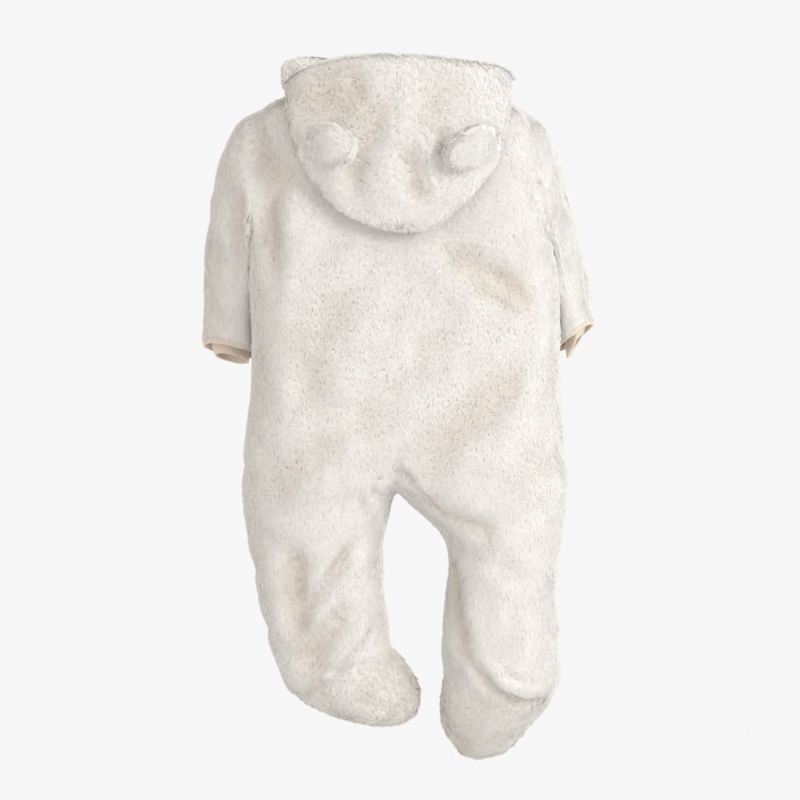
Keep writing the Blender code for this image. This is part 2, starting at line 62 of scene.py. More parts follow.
PILE_DEPTH = 1.1 * MM  # from the skin down to the blades' roots
GROUND_DEPTH = 1.6 * MM  # and down to the ground cloth, which only shows between them
EXTRA_DEPTH = 0.18  # how much deeper that is where a fold moves the skin, as a share of the move
GROUND_WALL = 1.2 * MM
GROUND_LEVELS, PILE_LEVELS = 2, 3  # subdivisions of the skin for the cloth and for the pile's roots
TAPE_DEPTH, TAPE_WALL = 1.4 * MM, 2.4 * MM
TAPE_SHOWN = 7.5 * MM  # of a binding; the pile of its sleeve stands on the rest and laps over most of this
CUFF_LEVELS = 2

FLEECE = [part + "_" + side for part in ("front", "back", "sleeve", "foot", "sole") for side in SIDES]
BINDINGS = ["binding_" + side for side in SIDES]
BODY = FLEECE + BINDINGS
HOOD = ["hood_" + side for side in SIDES]
EARS = ["ear_" + side + "_" + half for side in SIDES for half in ("outer", "inner")]

# The cut of the cloth that shows in each piece, all round on a tube: width, length and area, in metres.
Cut = namedtuple("Cut", "width length area")

# A fold is a trough in the cloth, with its sizes in mm. Its path is drawn on the cloth as it is seen from one
# side: in x and z from the back or the front, and in y and z from the left or the right. A ridge has a depth
# below 0. The cloth swells beside the fold by the lips, as shares of its depth, left and right of the path as
# it runs, and the left lip leans over the trough by sag.
Fold = namedtuple("Fold", "view width depth lips sag path")
BODY_FOLDS = (
    # Back: the hollow under the hood's right side and the drag line from it to the right armpit
    Fold("back", 20, 8.0, (0.15, 0.1), 0, ((-28, -114), (-58, -138), (-92, -158), (-130, -180))),
    Fold("back", 6, 2.2, (0.1, 0.2), 0, ((-76, -140), (-106, -164), (-134, -184))),
    Fold("back", 14, -2.6, (0, 0), 0, ((-26, -130), (-52, -162), (-84, -188))),
    # Back: slack above the seat, and the shoulder beside the hood's left side
    Fold("back", 18, 5.6, (0.2, 0.15), 0, ((40, -140), (56, -180), (82, -218), (76, -258), (50, -288))),
    Fold("back", 11, 3.0, (0.2, 0.2), 0, ((-2, -238), (20, -262), (40, -284))),
    Fold("back", 18, 6.4, (0.25, 0.2), 0, ((40, -288), (70, -308), (98, -326), (130, -356))),
    Fold("back", 18, 6.2, (0.2, 0.2), 0,
         ((-122, -200), (-98, -236), (-66, -272), (-34, -304), (-10, -330))),
    Fold("back", 11, 3.2, (0.2, 0.3), 0, ((-108, -304), (-126, -320), (-144, -348))),
    Fold("back", 15, -4.0, (0, 0), 0, ((97, -66), (93, -100), (84, -140))),
    Fold("back", 17, 5.5, (0.1, 0.1), 0, ((136, -8), (120, -34), (106, -60), (86, -92))),
    # Back: gathers at the crotch, and the drag line from it round the right thigh
    Fold("back", 5, 3.0, (0.3, 0.3), 0, ((12, -326), (22, -338), (20, -352))),
    Fold("back", 5, 3.0, (0.3, 0.3), 0, ((4, -322), (-8, -328), (-18, -344))),
    Fold("back", 5, 3.4, (0.3, 0.3), 0, ((-16, -338), (-28, -354), (-40, -366))),
    Fold("back", 9, 4.8, (0.3, 0.2), 0, ((-36, -362), (-60, -372), (-92, -384))),
    Fold("back", 6, -2.2, (0, 0), 0, ((-34, -358), (-48, -340), (-64, -322))),
    # Left leg: the hollow behind the knee and the drag lines across it
    Fold("back", 8, 7.2, (0.35, 0.2), 0.4, ((32, -380), (52, -410), (74, -438), (94, -458))),
    Fold("back", 13, 9.4, (0.2, 0.25), 0, ((92, -378), (92, -416), (92, -446), (88, -486))),
    Fold("back", 15, 10.0, (0.25, 0.1), 0, ((42, -434), (56, -458), (72, -484), (92, -514))),
    Fold("back", 5, 5.0, (0.6, 0.1), 1.5, ((66, -512), (50, -500), (32, -482), (18, -458))),
    Fold("back", 6, 3.4, (0.4, 0.3), 1.0, ((98, -532), (80, -519), (58, -506))),
    Fold("back", 6, 2.0, (0.2, 0.2), 0, ((44, -524), (24, -534), (2, -538))),
    # Right leg: the calf slumps over the foot
    Fold("back", 9, 4.8, (0.25, 0.2), 0, ((-48, -392), (-50, -438), (-54, -470), (-64, -498))),
    Fold("back", 6.5, 5.0, (0.6, 0), 1.5,
         ((-56, -486), (-70, -502), (-90, -522), (-112, -532), (-140, -530))),
    Fold("back", 5, 2.0, (0.3, 0.3), 0, ((-92, -502), (-104, -512), (-116, -512))),
    Fold("back", 9, 3.0, (0.2, 0.2), 0, ((-84, -400), (-104, -420), (-124, -424))),
    # Sleeves, and the deep creases where they meet the body
    Fold("back", 10, 5.6, (0.3, 0.1), 0, ((118, -52), (113, -90), (112, -124), (117, -162))),
    Fold("back", 11, 4.6, (0.1, 0.2), 0, ((146, -46), (145, -104), (139, -154), (135, -206))),
    Fold("back", 6, 1.8, (0.3, 0.3), 0, ((124, -62), (121, -98), (126, -136))),
    Fold("back", 8, 1.6, (0.3, 0.3), 0, ((168, -110), (162, -150), (164, -196))),
    Fold("back", 9, 2.2, (0, 0), 0, ((-135, -66), (-139, -110), (-145, -156))),
    Fold("back", 4, 3.0, (0.4, 0.4), 0, ((-128, -62), (-122, -82))),
    Fold("back", 6, 2.0, (0.3, 0.3), 0, ((-148, -204), (-160, -198), (-174, -192))),
    # Front
    Fold("front", 12, 3.6, (0.3, 0.2), 0, ((-96, -150), (-66, -186), (-30, -204))),
    Fold("front", 10, 3.2, (0.2, 0.3), 0, ((92, -138), (64, -172), (36, -182))),
    Fold("front", 13, 4.0, (0.3, 0.3), 0, ((118, -342), (78, -318), (34, -312))),
    Fold("front", 10, 3.2, (0.3, 0.2), 0, ((-120, -330), (-84, -316), (-50, -322))),
    Fold("front", 8, 2.6, (0.2, 0.3), 0, ((70, -232), (56, -258), (24, -272))),
    Fold("front", 11, 2.8, (0.3, 0.2), 0, ((-88, -228), (-80, -262), (-58, -288))),
    Fold("front", 5, 3.0, (0.3, 0.3), 0, ((8, -322), (22, -340), (30, -360))),
    Fold("front", 5, 3.2, (0.3, 0.3), 0, ((-6, -322), (-20, -340), (-34, -362))),
    Fold("front", 6, 4.6, (0.3, 0.3), 1.0, ((26, -404), (52, -424), (86, -430))),
    Fold("front", 8, 3.8, (0.3, 0.3), 0, ((36, -450), (62, -470), (96, -470))),
    Fold("front", 6, 4.2, (0.4, 0.2), 1.0, ((-132, -404), (-96, -426), (-62, -424))),
    Fold("front", 8, 3.6, (0.3, 0.3), 0, ((-128, -462), (-98, -478), (-62, -474))),
    Fold("front", 5, 4.4, (0.6, 0.1), 2.0, ((24, -484), (40, -498), (74, -506), (104, -496))),
    Fold("front", 5, 4.4, (0.1, 0.6), 0, ((-58, -496), (-84, -508), (-112, -510), (-136, -502))),
    Fold("front", 6, 6.0, (0.45, 0.2), 0, ((112, -60), (108, -98), (114, -134), (122, -170))),
    Fold("front", 6, 5.0, (0.3, 0.4), 0, ((-112, -58), (-110, -96), (-118, -136))),
    Fold("front", 7, 3.2, (0.3, 0.3), 0, ((146, -84), (150, -132), (146, -176))),
    Fold("front", 7, 3.2, (0.3, 0.3), 0, ((-146, -70), (-152, -112), (-150, -160))),
    # Sides
    Fold("left", 10, 1.9, (0.2, 0.2), 0, ((-52, -300), (-10, -322), (40, -318))),
    Fold("left", 9, 1.8, (0.2, 0.2), 0, ((44, -392), (6, -412), (-34, -404))),
    Fold("left", 8, 2.2, (0.2, 0.2), 0, ((-30, -452), (6, -468), (40, -462))),
    Fold("left", 7, 1.8, (0.2, 0.2), 0, ((-30, -90), (4, -112), (8, -150))),
    Fold("left", 6, 1.8, (0.2, 0.2), 0, ((-38, -140), (-16, -164), (-14, -196))),
    Fold("right", 10, 2.0, (0.2, 0.2), 0, ((46, -290), (4, -312), (-44, -306))),
    Fold("right", 8, 1.8, (0.2, 0.2), 0, ((-36, -388), (2, -404), (42, -398))),
    Fold("right", 9, 2.2, (0.2, 0.2), 0, ((44, -466), (8, -482), (-30, -474))),
    Fold("right", 7, 1.8, (0.2, 0.2), 0, ((22, -60), (-8, -84), (-14, -122))),
    Fold("right", 6, 1.9, (0.2, 0.2), 0, ((-36, -126), (-18, -150), (-20, -178))),
)
HOOD_FOLDS = (
    # Two broad dents in the left half, two creases that hang from the middle, and three small dents
    Fold("back", 19, 5.0, (0.1, 0.2), 0, ((104, 34), (84, 12), (64, -14))),
    Fold("back", 26, 6.0, (0.0, 0.1), 0, ((66, 56), (58, 26), (44, -2), (22, -30))),
    Fold("back", 10, 5.2, (0.3, 0.3), 0, ((0, 18), (18, -12), (34, -40), (38, -70), (38, -96))),
    Fold("back", 9, 4.6, (0.3, 0.3), 0, ((-2, -30), (-14, -58), (-18, -94))),
    Fold("back", 12, 2.2, (0.2, 0.2), 0, ((-26, 40), (-32, 14), (-26, -12))),
    Fold("back", 6, 3.6, (0.2, 0.2), 0, ((-38, -16), (-40, -38), (-48, -58))),
    Fold("back", 9, 2.0, (0.2, 0.3), 0, ((46, 42), (36, 22), (40, 2))),
)

# Skins


# labels are the pieces that a surface's faces belong to, and sides are the sides of the cloth they are on.
# hollow is how far each point has moved out from the plain skin, and is below 0 in a trough.
Surface = namedtuple("Surface", "points normals faces labels sides hollow")
OUTER, INNER, RIM = range(3)


def linked_faces(faces):
    """The faces in groups that share edges, the largest first."""
    left = set(faces)
    groups = []
    for first in faces:
        if first not in left:
            continue
        left.discard(first)
        found, waiting = [], [first]
        while waiting:
            face = waiting.pop()
            found.append(face)
            near = {other for edge in face.edges for other in edge.link_faces} & left
            left -= near
            waiting.extend(sorted(near, key=lambda other: other.index))
        groups.append(found)
    return sorted(groups, key=lambda group: -sum(face.calc_area() for face in group))


def mesh_of(name):
    """A node's mesh, with the points that lie together made one."""
    mesh = bmesh.new()
    mesh.from_mesh(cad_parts[name].data)
    bmesh.ops.remove_doubles(mesh, verts=mesh.verts[:], dist=SAME_LENGTH)
    mesh.faces.index_update()
    return mesh


def outer_side(name, wall):
    """The outer side of a node's shell. Its rim's faces have edges as long as the wall is thick."""
    mesh = mesh_of(name)
    walls = [f for f in mesh.faces if all(abs(e.calc_length() - wall) > SAME_LENGTH for e in f.edges)]
    kept = {vert for face in linked_faces(walls)[0] for vert in face.verts}
    others = [face for face in mesh.faces if not kept.issuperset(face.verts)]
    bmesh.ops.delete(mesh, geom=others, context="FACES")
    return mesh


def smoothed(mesh, labels, levels):
    """A mesh after subdivision, as a surface. labels is how many materials mark its faces."""
    data = bpy.data.meshes.new("skin")
    mesh.to_mesh(data)
    mesh.free()
    skin = bpy.data.objects.new("skin", data)
    for _ in range(labels):
        data.materials.append(None)
    bpy.context.scene.collection.objects.link(skin)
    smoother = skin.modifiers.new("smooth", "SUBSURF")
    smoother.levels = smoother.render_levels = levels
    surface = surface_of(skin)
    bpy.data.objects.remove(skin)
    bpy.data.meshes.remove(data)
    return surface


def smooth_skin(names, wall, levels):
    """The outer sides of the nodes as one smooth surface, whose labels are places in names."""
    joined = bmesh.new()
    for label, name in enumerate(names):
        side = outer_side(name, wall)
        for face in side.faces:
            face.material_index = label
        data = bpy.data.meshes.new("side")
        side.to_mesh(data)
        side.free()
        joined.from_mesh(data)
        bpy.data.meshes.remove(data)
    bmesh.ops.remove_doubles(joined, verts=joined.verts[:], dist=SEAM_REACH)
    bmesh.ops.join_triangles(
        joined,
        faces=joined.faces[:],
        cmp_materials=True,
        angle_face_threshold=FACE_TURN,
        angle_shape_threshold=SHAPE_TURN,
    )
    return smoothed(joined, len(names), levels)


def make_surface(points, faces, labels, sides, hollow):
    return Surface(points, point_normals(points, faces), faces, labels, sides, hollow)


def surface_of(obj):
    """The object's mesh with its modifiers, whose faces all have four corners."""
    evaluated = obj.evaluated_get(bpy.context.evaluated_depsgraph_get())
    mesh = evaluated.to_mesh()
    points = np.empty(len(mesh.vertices) * 3)
    mesh.vertices.foreach_get("co", points)
    corners = np.empty(len(mesh.loops), np.int64)
    mesh.loops.foreach_get("vertex_index", corners)
    labels = np.empty(len(mesh.polygons), np.int64)
    mesh.polygons.foreach_get("material_index", labels)
    evaluated.to_mesh_clear()
    points, faces = points.reshape(-1, 3), corners.reshape(-1, 4)
    return make_surface(points, faces, labels, np.zeros(len(faces), np.int64), np.zeros(len(points)))


def unit(vectors):
    return vectors / np.maximum(np.linalg.norm(vectors, axis=-1, keepdims=True), 1e-12)


def point_normals(points, faces):
    """Each point's normal, from the faces round it weighted by their area."""
    a, b, c, d = (points[faces[:, i]] for i in range(4))
    across = np.cross(c - a, d - b)
    summed = np.zeros_like(points)
    for i in range(4):
        np.add.at(summed, faces[:, i], across)
    return unit(summed)


def part_of(surface, chosen):
    """Some faces of a surface, as a surface of its own that keeps the whole one's normals."""
    faces = surface.faces[chosen]
    used, index = np.unique(faces, return_inverse=True)
    return Surface(
        surface.points[used],
        surface.normals[used],
        index.reshape(-1, 4),
        surface.labels[chosen],
        surface.sides[chosen],
        surface.hollow[used],
    )


def open_edges(faces, count):
    """The edges that only one face has, as pairs of points in that face's order, and those faces."""
    ends = np.concatenate([faces[:, [i, (i + 1) % 4]] for i in range(4)])
    owners = np.tile(np.arange(len(faces)), 4)
    keys = ends.min(1) * count + ends.max(1)
    _, first, times = np.unique(keys, return_index=True, return_counts=True)
    found = first[times == 1]
    return ends[found], owners[found]


def tree_of(points):
    tree = kdtree.KDTree(len(points))
    for i, point in enumerate(points.tolist()):
        tree.insert(point, i)
    tree.balance()
    return tree


def edge_tree(surface):
    """A tree of the points on the surface's open edges."""
    return tree_of(surface.points[np.unique(open_edges(surface.faces, len(surface.points))[0])])


def shell_of(surface, depth, wall):
    """A closed sheet inside the surface, whose outer side lies depth under it."""
    outer = surface.points - surface.normals * depth
    inner = outer - surface.normals * wall
    count = len(outer)
    ends, owners = open_edges(surface.faces, count)
    a, b = ends.T
    rim = np.stack([b, a, a + count, b + count], 1)
    faces = np.concatenate([surface.faces, surface.faces[:, ::-1] + count, rim])
    labels = np.concatenate([surface.labels, surface.labels, surface.labels[owners]])
    sides = np.repeat((OUTER, INNER, RIM), (len(surface.faces), len(surface.faces), len(rim)))
    return make_surface(np.concatenate([outer, inner]), faces, labels, sides, np.tile(surface.hollow, 2))


# Folds


Line = namedtuple("Line", "points normals along strength fold")
# The way that one looks at the cloth from each side.
WAYS = {"back": (0, -1, 0), "front": (0, 1, 0), "left": (-1, 0, 0), "right": (1, 0, 0)}
FAR = 0.5  # where the lines that look for the cloth start
STEP = 2.0 * MM  # between the points of a fold's line
EASINGS = 12  # how many times a path's corners are eased
ENDS = 0.3  # share of a fold over which it fades in, and out again
LIP_AT, SAG_AT, LIP_WIDTH, FOLD_REACH = 2, 1.3, 0.9, 4  # in widths of the fold, from its line
TURNED = 0.5  # a fold is weaker on cloth that turns from it, with a cosine between their normals below this
HELD = 18 * MM  # how far from the open edges the folds fade in
WAVES = ((1.1 * MM, 50 * MM), (0.6 * MM, 21 * MM))  # the cloth's unevenness: its height and its size

# The arms hang beside the body, ARM_X from the middle. Where they are within ARM_NEAR of it, both swell until
# they meet, and MEETING more. The swelling comes in under ARM_TOP, and END_SHARE of it goes on under ARM_END.
ARMS = [i for i, name in enumerate(BODY) if name.startswith(("sleeve", "binding"))]
ARM_X, ARM_REACH, ARM_FADE = 134 * MM, 40 * MM, 12 * MM
ARM_TOP, TOP_FADE = -66 * MM, 30 * MM
ARM_END, END_FADE, END_SHARE = -225 * MM, 14 * MM, 0.15
ARM_NEAR, MOST_SWELL, MEETING = 44 * MM, 11 * MM, 1.0 * MM
LEAST_FACING, SLANT = 0.05, 0.4  # cosines between a point's normal and the way to the other surface
SPREADS = 5  # how many times the swelling spreads to the points beside it, and is then evened out
# Each point of a finer surface takes the values of the coarse one's nearest points, by how near they are.
NEIGHBOURS, TOUCHING = 4, 0.05 * MM


def smooth_step(x):
    x = np.clip(x, 0, 1)
    return x * x * (3 - 2 * x)


def waves(points, size, seed, count=7, spread=(0.6, 1.5)):
    """Smooth noise from about -1 to 1, whose patches are about size wide."""
    draw = np.random.default_rng(seed)
    ways = unit(draw.normal(size=(count, 3))) * (math.pi / size) * draw.uniform(*spread, (count, 1))
    turns = draw.uniform(0, 2 * math.pi, count)
    return np.sin(points @ ways.T + turns).sum(1) / math.sqrt(count)


def rounded_path(path):
    """The path's points in metres, a step apart, with its corners eased."""
    corners = np.array(path, float) * MM
    reach = np.concatenate([[0], np.cumsum(np.linalg.norm(np.diff(corners, axis=0), axis=1))])
    at = np.linspace(0, reach[-1], int(reach[-1] / STEP))
    points = np.stack([np.interp(at, reach, corners[:, i]) for i in range(2)], 1)
    for _ in range(EASINGS):
        points[1:-1] = (points[:-2] + 2 * points[1:-1] + points[2:]) / 4
    return points


def fold_line(fold, tree):
    """A fold's path laid on the cloth."""
    found = []
    path = rounded_path(fold.path)
    way = Vector(WAYS[fold.view])
    for i, (across, up) in enumerate(path.tolist()):
        start = Vector((0, across, up) if way.x else (across, 0, up)) - way * FAR
        place, normal = tree.ray_cast(start, way)[:2]
        if place is not None:
            found.append((i / (len(path) - 1), *place, *normal))
    share, points, normals = np.split(np.array(found), (1, 4), axis=1)
    strength = smooth_step(share[:, 0] / ENDS) * smooth_step((1 - share[:, 0]) / ENDS)
    return Line(points, normals, unit(np.gradient(points, axis=0)), strength, fold)


def pressed(surface, line):
    """How far one fold moves the points: along their normals, and as vectors over the cloth."""
    fold = line.fold
    width = fold.width * MM
    moved, shifted = np.zeros(len(surface.points)), np.zeros_like(surface.points)
    low, high = line.points.min(0) - FOLD_REACH * width, line.points.max(0) + FOLD_REACH * width
    near = np.flatnonzero(((surface.points > low) & (surface.points < high)).all(1))
    away = surface.points[near][:, None] - line.points[None]
    distance = np.linalg.norm(away, axis=2)
    nearest = distance.argmin(1)
    rows = np.arange(len(near))
    away, u = away[rows, nearest], distance[rows, nearest] / width
    normals, along = line.normals[nearest], line.along[nearest]
    left = np.einsum("ij,ij->i", np.cross(normals, along), away) > 0
    faces_it = smooth_step(np.einsum("ij,ij->i", surface.normals[near], normals) / TURNED)
    strength = line.strength[nearest] * faces_it
    lips = np.where(left, fold.lips[0], fold.lips[1]) * np.exp(-(((u - LIP_AT) / LIP_WIDTH) ** 2))
    moved[near] = fold.depth * MM * strength * (lips - np.exp(-(u**2)))
    leaning = fold.sag * MM * strength * left * np.exp(-(((u - SAG_AT) / LIP_WIDTH) ** 2))
    shifted[near] = -unit(away) * leaning[:, None]
    return moved, shifted


def toward_neighbour(surface):
    """How far each point moves out where an arm and the body are near each other, to meet softly."""
    arm, moved = np.zeros(len(surface.points), bool), np.zeros(len(surface.points))
    arm_faces = np.isin(surface.labels, ARMS)
    arm[surface.faces[arm_faces]] = True
    if not arm.any():
        return moved
    points = surface.points.tolist()
    sides = arm_faces, ~arm_faces
    trees = [BVHTree.FromPolygons(points, surface.faces[chosen].tolist()) for chosen in sides]
    aside, height = np.abs(np.abs(surface.points[:, 0]) - ARM_X), surface.points[:, 2]
    share = smooth_step((ARM_REACH - aside) / ARM_FADE) * smooth_step((ARM_TOP - height) / TOP_FADE)
    share *= smooth_step((height - ARM_END) / END_FADE) * (1 - END_SHARE) + END_SHARE
    for i in np.flatnonzero(share):
        place, normal = Vector(points[i]), Vector(surface.normals[i])
        found = trees[int(arm[i])].find_nearest(place, ARM_NEAR)
        if found[0] is None or found[3] < SAME_LENGTH:
            continue
        facing = (found[0] - place).dot(normal) / found[3]
        if facing > LEAST_FACING:
            most = (found[3] / 2 + MEETING) / max(facing, SLANT)
            moved[i] = share[i] * min(MOST_SWELL * (1 - found[3] / ARM_NEAR) ** 2, most)
    return moved


def folded(surface, lines, swell, seed):
    """The surface with its folds, its swelling and a slight unevenness. Its open edges stay in place."""
    tree = edge_tree(surface)
    held = smooth_step(np.array([tree.find(p)[2] for p in surface.points.tolist()]) / HELD)
    moved = sum(height * waves(surface.points, size, seed + i) for i, (height, size) in enumerate(WAVES))
    shifted = np.zeros_like(surface.points)
    for line in lines:
        down, over = pressed(surface, line)
        moved += down
        shifted += over
    moved = moved * held + swell
    points = surface.points + surface.normals * moved[:, None] + shifted * held[:, None]
    return make_surface(points, surface.faces, surface.labels, surface.sides, moved)


def evened(values, faces):
    """Values at the points, spread to those beside them, first without lowering any and then evenly."""
    for turn in range(2 * SPREADS):
        mean = values[faces].mean(1)
        summed, shared = np.zeros_like(values), np.zeros_like(values)
        for i in range(4):
            np.add.at(summed, faces[:, i], mean)
            np.add.at(shared, faces[:, i], 1)
        mean = summed / np.maximum(shared, 1)
        values = np.maximum(values, mean) if turn < SPREADS else mean
    return values


def carried(values, surface, finer):
    """Values at a surface's points, carried to the points of the same surface at a finer level."""
    tree = tree_of(surface.points)
    found = [tree.find_n(point, NEIGHBOURS) for point in finer.points.tolist()]
    near = np.array([[index for _, index, _ in row] for row in found])
    distances = np.array([[distance for _, _, distance in row] for row in found])
    weights = 1 / (distances + TOUCHING) ** 2
    return (values[near] * weights).sum(1) / weights.sum(1)


def folded_skins(names, folds, seed):
    """The nodes' skin with its folds, at the cloth's fineness and at the pile's."""
    cloth = smooth_skin(names, FLEECE_WALL, GROUND_LEVELS)
    tree = BVHTree.FromPolygons(cloth.points.tolist(), cloth.faces.tolist())
    lines = [fold_line(fold, tree) for fold in folds]
    fine = smooth_skin(names, FLEECE_WALL, PILE_LEVELS)
    swell = evened(toward_neighbour(cloth), cloth.faces)
    return folded(cloth, lines, swell, seed), folded(fine, lines, carried(swell, cloth, fine), seed)


# Objects


def mesh_object(name, points, faces, material):
    """A smooth piece whose faces all have the same number of corners."""
    mesh = bpy.data.meshes.new(name)
    mesh.vertices.add(len(points))
    mesh.vertices.foreach_set("co", np.asarray(points, np.float32).ravel())
    mesh.loops.add(faces.size)
    mesh.loops.foreach_set("vertex_index", faces.astype(np.int32).ravel())
    mesh.polygons.add(len(faces))
    mesh.polygons.foreach_set("loop_start", np.arange(len(faces), dtype=np.int32) * faces.shape[1])
    mesh.update(calc_edges=True)
    return placed(name, mesh, material)


def shown_for(node, ending, points, faces, material):
    """A piece that is shown in place of a node and named after it."""
    made = mesh_object(node + ending, points, faces, material)
    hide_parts(node)
    return made


def placed(name, mesh, material):
    """The mesh as an object of one material, which rides on the body."""
    mesh.shade_smooth()
    mesh.materials.append(material)
    made = bpy.data.objects.new(name, mesh)
    bpy.context.scene.collection.objects.link(made)
    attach(made, "root")
    return made


# Pile


# density is in blades to the square metre. lift and turn are angles in degrees. lock is how many blades lean
# together, and pull is how far they do. depth is from the skin down to the roots. tone is how light it is.
Pile = namedtuple("Pile", "density length width lift turn lock pull depth tone")
LONG = Pile(1.44e6, 4.9 * MM, 1.02 * MM, 7, 14, 18, 0.20, PILE_DEPTH, 0.60)
CURLY = Pile(1.43e6, 4.6 * MM, 1.02 * MM, 9, 30, 26, 0.46, PILE_DEPTH, 0.58)
# FOOT's tone is much lower than the other piles': painted shade that makes the feet darker where they curve
# away from the light.
FOOT = Pile(1.45e6, 4.5 * MM, 1.00 * MM, 12, 36, 24, 0.54, PILE_DEPTH, 0.38)
# EAR's tone is higher than the hood's: painted light that makes the ears lighter than the cloth round them.
EAR = Pile(2.40e6, 5.0 * MM, 1.00 * MM, 12, 50, 20, 0.42, -0.2 * MM, 0.74)
BLADE_WALL = 0.02 * MM  # between the two faces of a blade that stands up
STRAYS = 0.015  # the share of blades that stand up
STRAY_LIFT = 13  # and by how many degrees more, times a number in STRAY_RANGE
STRAY_RANGE = 0.3, 1.4
# On the cloth that faces the sides more blades stand up, and the others lie flatter. EDGE_ON is how much it
# may still face the back or the front where that starts, and it is complete EDGE_FADE below.
EDGE_ON, EDGE_FADE, EDGE_STRAYS, EDGE_LIFT = 0.46, 0.36, 0.24, 2
DOWN = np.array([0.0, 0.12, -1.0])  # the way the pile lies
# How uneven the pile is: the spread of each measure from blade to blade, then in patches of that size.
LIFT_SPREAD, LIFT_PATCHES, LIFT_SIZE = 2, 2, 14 * MM
LENGTH_SPREAD, LENGTH_PATCHES, LENGTH_SIZE = 0.16, 0.10, 22 * MM
TINT_SPREAD, TINT_PATCHES, TINT_SIZE = 0.07, 0.06, 26 * MM
WIDTH_SPREAD = 0.2
WIDE_TURNS, FINE_TURNS, FINE_SHARE = 34 * MM, 9 * MM, 0.8
# Painted shade: the blades are darker in the folds' troughs, the more the deeper the trough.
TROUGH_PAINTED_SHADE = 0.09  # how much deeper the tint is for each mm of a trough
OWN_SHADE = 0.1  # a blade's own share in its shading
STRAY_SHADE = 0.6, 0.5  # the cloth's and the blade's side's, where it stands up
TINT_ENDS = 0.06, 0.94  # the least and the most
TINT_ACROSS = np.array([-0.04, 0.04, 0.0])  # over a blade's three corners


def roots(surface, per_face, draw):
    """Points spread over a surface, whose faces have a density each: their places, normals and hollows."""
    corners = surface.faces[:, [0, 1, 2, 0, 2, 3]].reshape(-1, 3)
    a, b, c = (surface.points[corners[:, i]] for i in range(3))
    share = np.linalg.norm(np.cross(b - a, c - a), axis=1) / 2 * np.repeat(per_face, 2)
    reach = np.cumsum(share)
    count = int(reach[-1])
    at = (np.arange(count) + draw.random(count)) / count * reach[-1]
    chosen = np.minimum(np.searchsorted(reach, at), len(reach) - 1)
    u, v = draw.random((2, count))
    u, v = np.where(u + v > 1, 1 - u, u), np.where(u + v > 1, 1 - v, v)
    weights = np.stack([1 - u - v, u, v], 1)
    points = (surface.points[corners[chosen]] * weights[:, :, None]).sum(1)
    normals = unit((surface.normals[corners[chosen]] * weights[:, :, None]).sum(1))
    hollow = (surface.hollow[corners[chosen]] * weights).sum(1)
    return points, normals, hollow


def lie_of(points, normals, turn, draw):
    """Which way each blade leans: down the cloth, turned this way and that in patches."""
    lie = unit(DOWN - normals * (normals @ DOWN)[:, None])
    across = np.cross(normals, lie)
    angle = waves(points, WIDE_TURNS, 1) + FINE_SHARE * waves(points, FINE_TURNS, 2)
    angle = math.radians(turn) * (angle + draw.normal(size=len(points)))[:, None]
    return lie * np.cos(angle) + across * np.sin(angle)


def lift_of(points, normals, kind, draw):
    """Which blades stand up, and the angle from the cloth at which each rises, in radians."""
    count = len(points)
    edge_on = smooth_step((EDGE_ON - np.abs(normals[:, 1])) / EDGE_FADE)
    stray = draw.random(count) < STRAYS + (EDGE_STRAYS - STRAYS) * edge_on
    lift = np.where(stray, kind.lift, kind.lift + (EDGE_LIFT - kind.lift) * edge_on)
    lift += LIFT_SPREAD * draw.normal(size=count) + LIFT_PATCHES * waves(points, LIFT_SIZE, 3)
    raised = lift + STRAY_LIFT * draw.uniform(*STRAY_RANGE, count)
    return stray, np.radians(np.where(stray, raised, lift))[:, None]


def gathered(tips, kind, draw):
    """The tips drawn together in small locks: each goes part of the way to the nearest of a few of them."""
    chosen = tips[draw.permutation(len(tips))[: len(tips) // kind.lock]]
    tree = tree_of(chosen)
    nearest = np.array([tree.find(point)[1] for point in tips.tolist()])
    return tips + (chosen[nearest] - tips) * kind.pull


def pile(name, surface, kind, material, weights, seed):
    """Fine blades on a surface, shaded mostly with the surface's own normals."""
    draw = np.random.default_rng(seed)
    points, normals, hollow = roots(surface, kind.density * weights, draw)
    order = draw.permutation(len(points))
    points, normals, hollow = points[order], normals[order], hollow[order]
    count = len(points)
    lie = lie_of(points, normals, kind.turn, draw)
    stray, lift = lift_of(points, normals, kind, draw)
    length = 1 + LENGTH_SPREAD * draw.normal(size=count) + LENGTH_PATCHES * waves(points, LENGTH_SIZE, 4)
    length = kind.length * length[:, None]
    low = points - normals * kind.depth
    tips = low + (lie * np.cos(lift) + normals * np.sin(lift)) * length
    tips = gathered(tips, kind, draw)
    half = np.cross(lie, normals) * kind.width / 2 * (1 + WIDTH_SPREAD * draw.normal(size=count))[:, None]
    own = unit(np.cross(half, tips - low))
    shading = unit(normals * (1 - OWN_SHADE) + own * OWN_SHADE)
    tint = kind.tone + TINT_SPREAD * draw.normal(size=count) + TINT_PATCHES * waves(points, TINT_SIZE, 5)
    # Painted shade: a lower tint in the folds' troughs.
    tint += TROUGH_PAINTED_SHADE * np.minimum(hollow, 0) / MM
    # A blade that stands up is turned on edge, and has a second face just behind the first.
    side = unit(half)
    half[stray] = own[stray] * kind.width / 2
    upright, aside = normals[stray] * STRAY_SHADE[0], side[stray] * STRAY_SHADE[1]
    shading[stray] = unit(upright - aside)
    corners = np.stack([low - half, low + half, tips], 1)
    behind = corners[stray][:, [1, 0, 2]] + side[stray][:, None] * BLADE_WALL
    corners = np.concatenate([corners, behind])
    shading = np.concatenate([shading, unit(upright + aside)])
    tint = np.concatenate([tint, tint[stray]])
    return blade_object(name, corners, shading, tint, material)


